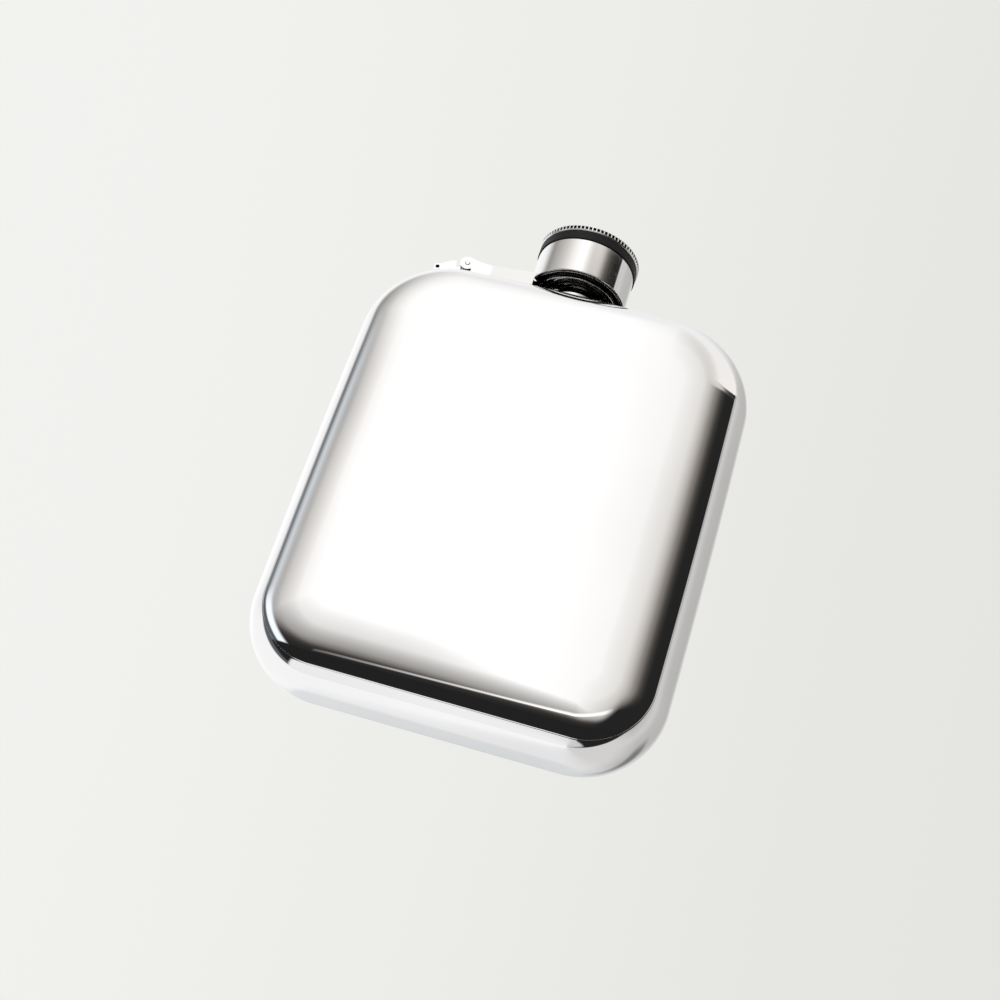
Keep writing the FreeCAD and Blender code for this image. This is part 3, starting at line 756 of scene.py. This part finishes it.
def low_walls(n, azimuth, elevation, colour):
    """Lower walls and floor beside and behind: brighter and even, with one dark nook on the right."""
    low_right = n.product(n.ramp(azimuth, 78.0, 81.0), n.fall(elevation, -45.0, -15.0))
    right_paper = n.mix(n.ramp(azimuth, 130.0, 180.0), grey(0.74, 0.02), grey(0.88, 0.0))
    colour = n.mix(low_right, colour, right_paper)
    nook = n.product(n.band(azimuth, 128.0, 172.0, 20.0, 14.0), n.band(elevation, -17.0, -4.0, 8.0, 8.0), 0.7)
    colour = n.mix(nook, colour, grey(0.10, 0.0))
    low_left = n.product(n.band(azimuth, -181.0, -97.0, 1.0, 5.0), n.fall(elevation, -5.0, 22.0))
    left_paper = n.mix(n.ramp(azimuth, -179.0, -150.0), grey(0.90), grey(1.08))
    colour = n.mix(low_left, colour, left_paper)
    turned_away = n.ramp(n.math("ABSOLUTE", azimuth), 150.0, 176.0)
    behind = n.product(turned_away, n.band(elevation, -24.0, 8.0, 24.0, 12.0), 0.85)
    return n.mix(behind, colour, (0.70, 0.725, 0.745, 1.0))


def dark_studio(n, azimuth, elevation, colour, front):
    """In front and low down, the brown edge of the dark studio sinks towards the right."""
    sink = n.ramp(azimuth, -10.0, 4.0)
    height = n.product(elevation, n.math("MULTIPLY_ADD", sink, 0.5, 1.0))
    height = n.math("ADD", height, n.product(sink, 12.0))
    dusk = n.scale(stops_ramp(n, height, DUSK[0][0], DUSK[-1][0], wall_stops(DUSK)), WALL_PEAK)
    darker = n.darkest(colour, dusk)
    colour = n.mix(n.product(front, n.fall(elevation, 20.0, 27.0)), colour, darker)
    corner = n.product(n.ramp(azimuth, 12.0, 22.0), n.fall(elevation, 2.0, 17.0), n.fall(azimuth, 77.0, 79.5))
    return n.mix(corner, colour, grey(0.020))


def strip_light(n, azimuth, elevation, colour):
    """Light on the left in its dark gap, strongest low down, where it swings forwards."""
    swing = n.product(n.math("MAXIMUM", n.math("SUBTRACT", 12.0, elevation), 0.0), 0.5)
    centre = n.math("SUBTRACT", azimuth, swing)
    low = n.fall(elevation, 4.0, 26.0)
    gap = n.product(n.band(azimuth, -96.0, -80.0, 4.0, 1.0), low)
    widened = n.product(n.ramp(azimuth, -96.0, -92.0), n.fall(centre, -84.0, -78.0), low)
    colour = n.mix(n.math("MAXIMUM", gap, widened), colour, grey(0.13, -0.06))
    strip = n.product(n.band(centre, -80.0, -64.0, 5.0, 9.0), low)
    return n.mix(strip, colour, (1.14, 1.19, 1.27, 1.0))


def light_edge(n, azimuth, elevation, colour):
    """Thin light edge that crosses the dark from the lower left."""
    past = n.math("MAXIMUM", n.math("ADD", azimuth, 2.0), 0.0)
    height = n.math("MULTIPLY_ADD", n.math("MINIMUM", azimuth, -2.0), 1.3, -2.6)
    height = n.math("ADD", height, n.product(past, 0.5))
    thick = n.band(n.math("SUBTRACT", elevation, height), -2.6, 1.6, 1.4, 2.4)
    glow = n.math("POWER", n.ramp_linear(azimuth, -16.0, -3.5), 1.6)
    return n.mix(n.product(thick, n.product(glow, n.fall(azimuth, 12.0, 18.0))), colour, grey(1.2, 0.01))


def black_and_floor(n, azimuth, elevation, colour, front):
    """Black zone in front with its sharp lower edge, and the paper floor below it."""
    edge = n.ramp(azimuth, -25.0, 10.0, -55.0, -67.0)
    edge = n.math("ADD", edge, n.ramp(azimuth, 14.0, 34.0, 0.0, -7.0))
    depth = n.math("SUBTRACT", elevation, edge)
    black = n.product(n.ramp(depth, -1.5, 2.5), n.fall(elevation, -27.5, -25.0), front)
    colour = n.mix(black, colour, grey(0.018))
    floor_light = n.product(n.fall(depth, -1.5, 2.5), n.fall(azimuth, 60.0, 82.0),
                            n.band(azimuth, -97.0, 80.0, 4.0, 4.0))
    floor_tone = n.mix(n.ramp(azimuth, -30.0, 30.0), grey(1.0), grey(0.70))
    return n.mix(floor_light, colour, floor_tone)


def make_world():
    """Studio surroundings, as brightness by direction; the camera itself sees a pale backdrop with painted
    light fall-off, darker towards the right.
    """
    world = bpy.data.worlds.new("studio")
    bpy.context.scene.world = world
    world.use_nodes = True
    n = Nodes(world.node_tree)
    axes = n.add("ShaderNodeSeparateXYZ", Vector=n.add("ShaderNodeTexCoord").outputs["Generated"])
    x, y, z = axes.outputs["X"], axes.outputs["Y"], axes.outputs["Z"]
    to_deg = 180 / math.pi
    elevation = n.product(n.math("ARCSINE", z), to_deg)
    azimuth = n.product(n.math("ARCTAN2", x, n.product(y, -1.0)), to_deg)
    front = n.band(azimuth, -88.0, 78.0, 6.0, 2.0)

    colour = side_walls(n, azimuth, elevation)
    colour = low_walls(n, azimuth, elevation, colour)
    colour = dark_studio(n, azimuth, elevation, colour, front)
    colour = strip_light(n, azimuth, elevation, colour)
    colour = light_edge(n, azimuth, elevation, colour)
    colour = black_and_floor(n, azimuth, elevation, colour, front)
    colour = n.mix(n.ramp(elevation, 40.0, 88.0), colour, grey(1.0))

    # painted light fall-off: the backdrop that camera rays see is darker towards the right
    backdrop = n.mix(n.ramp(x, -0.45, 0.35), (0.885, 0.885, 0.865, 1.0), (0.775, 0.775, 0.745, 1.0))
    sees = n.add("ShaderNodeLightPath").outputs["Is Camera Ray"]
    sky = n.add("ShaderNodeBackground", Color=n.mix(sees, colour, backdrop), Strength=1.0)
    out = n.add("ShaderNodeOutputWorld")
    n.tree.links.new(sky.outputs[0], out.inputs["Surface"])


def make_floor():
    place = (0, 0, FLOOR_Z)
    bpy.ops.mesh.primitive_circle_add(vertices=96, radius=FLOOR_R, fill_type="NGON", location=place)
    floor = bpy.context.object
    floor.name = "floor"
    material, n = new_material("pale_floor")
    place = n.add("ShaderNodeTexCoord").outputs["Object"]
    mottle = n.add("ShaderNodeTexNoise", Vector=place, Scale=6.0, Detail=3.0)
    tone = n.mix(mottle.outputs["Fac"], (0.74, 0.74, 0.72, 1.0), (0.78, 0.78, 0.765, 1.0))
    n.surface(n.add("ShaderNodeBsdfDiffuse", Color=tone))
    floor.data.materials.append(material)
    floor.visible_glossy = False


def make_lights():
    data = bpy.data.lights.new("soft_top", "AREA")
    data.shape = "DISK"
    data.size = 0.9
    data.energy = 14.0
    light = bpy.data.objects.new("soft_top", data)
    light.location = (-0.3, -0.5, 1.0)
    light.rotation_euler = Vector(light.location).to_track_quat("Z", "Y").to_euler()
    light.visible_glossy = False
    bpy.context.scene.collection.objects.link(light)


# ---------------------------------------------------------------- build
panel("front_shell", "front_panel", True)
panel("back_shell", "back_panel", False)
side_band()
cap_sleeve()
black_grip_band()
milled_disc()
barrel_retaining_ring()
sealing_disc()
refined("shoulder_bracket", "hinge_bracket", HINGE, "flask", 0.14 * MM)
refined("rivet_pin", "hinge_pin", HINGE, "flask", 0.12 * MM)
keep_cad("neck_tube", NECK)
keep_cad("neck_collar", STEEL)
keep_cad("cap_barrel", TURNED)
keep_cad("hinge_arm", HINGE)

make_camera()
make_world()
make_lights()
make_floor()
bpy.context.scene.view_settings.view_transform = "Standard"
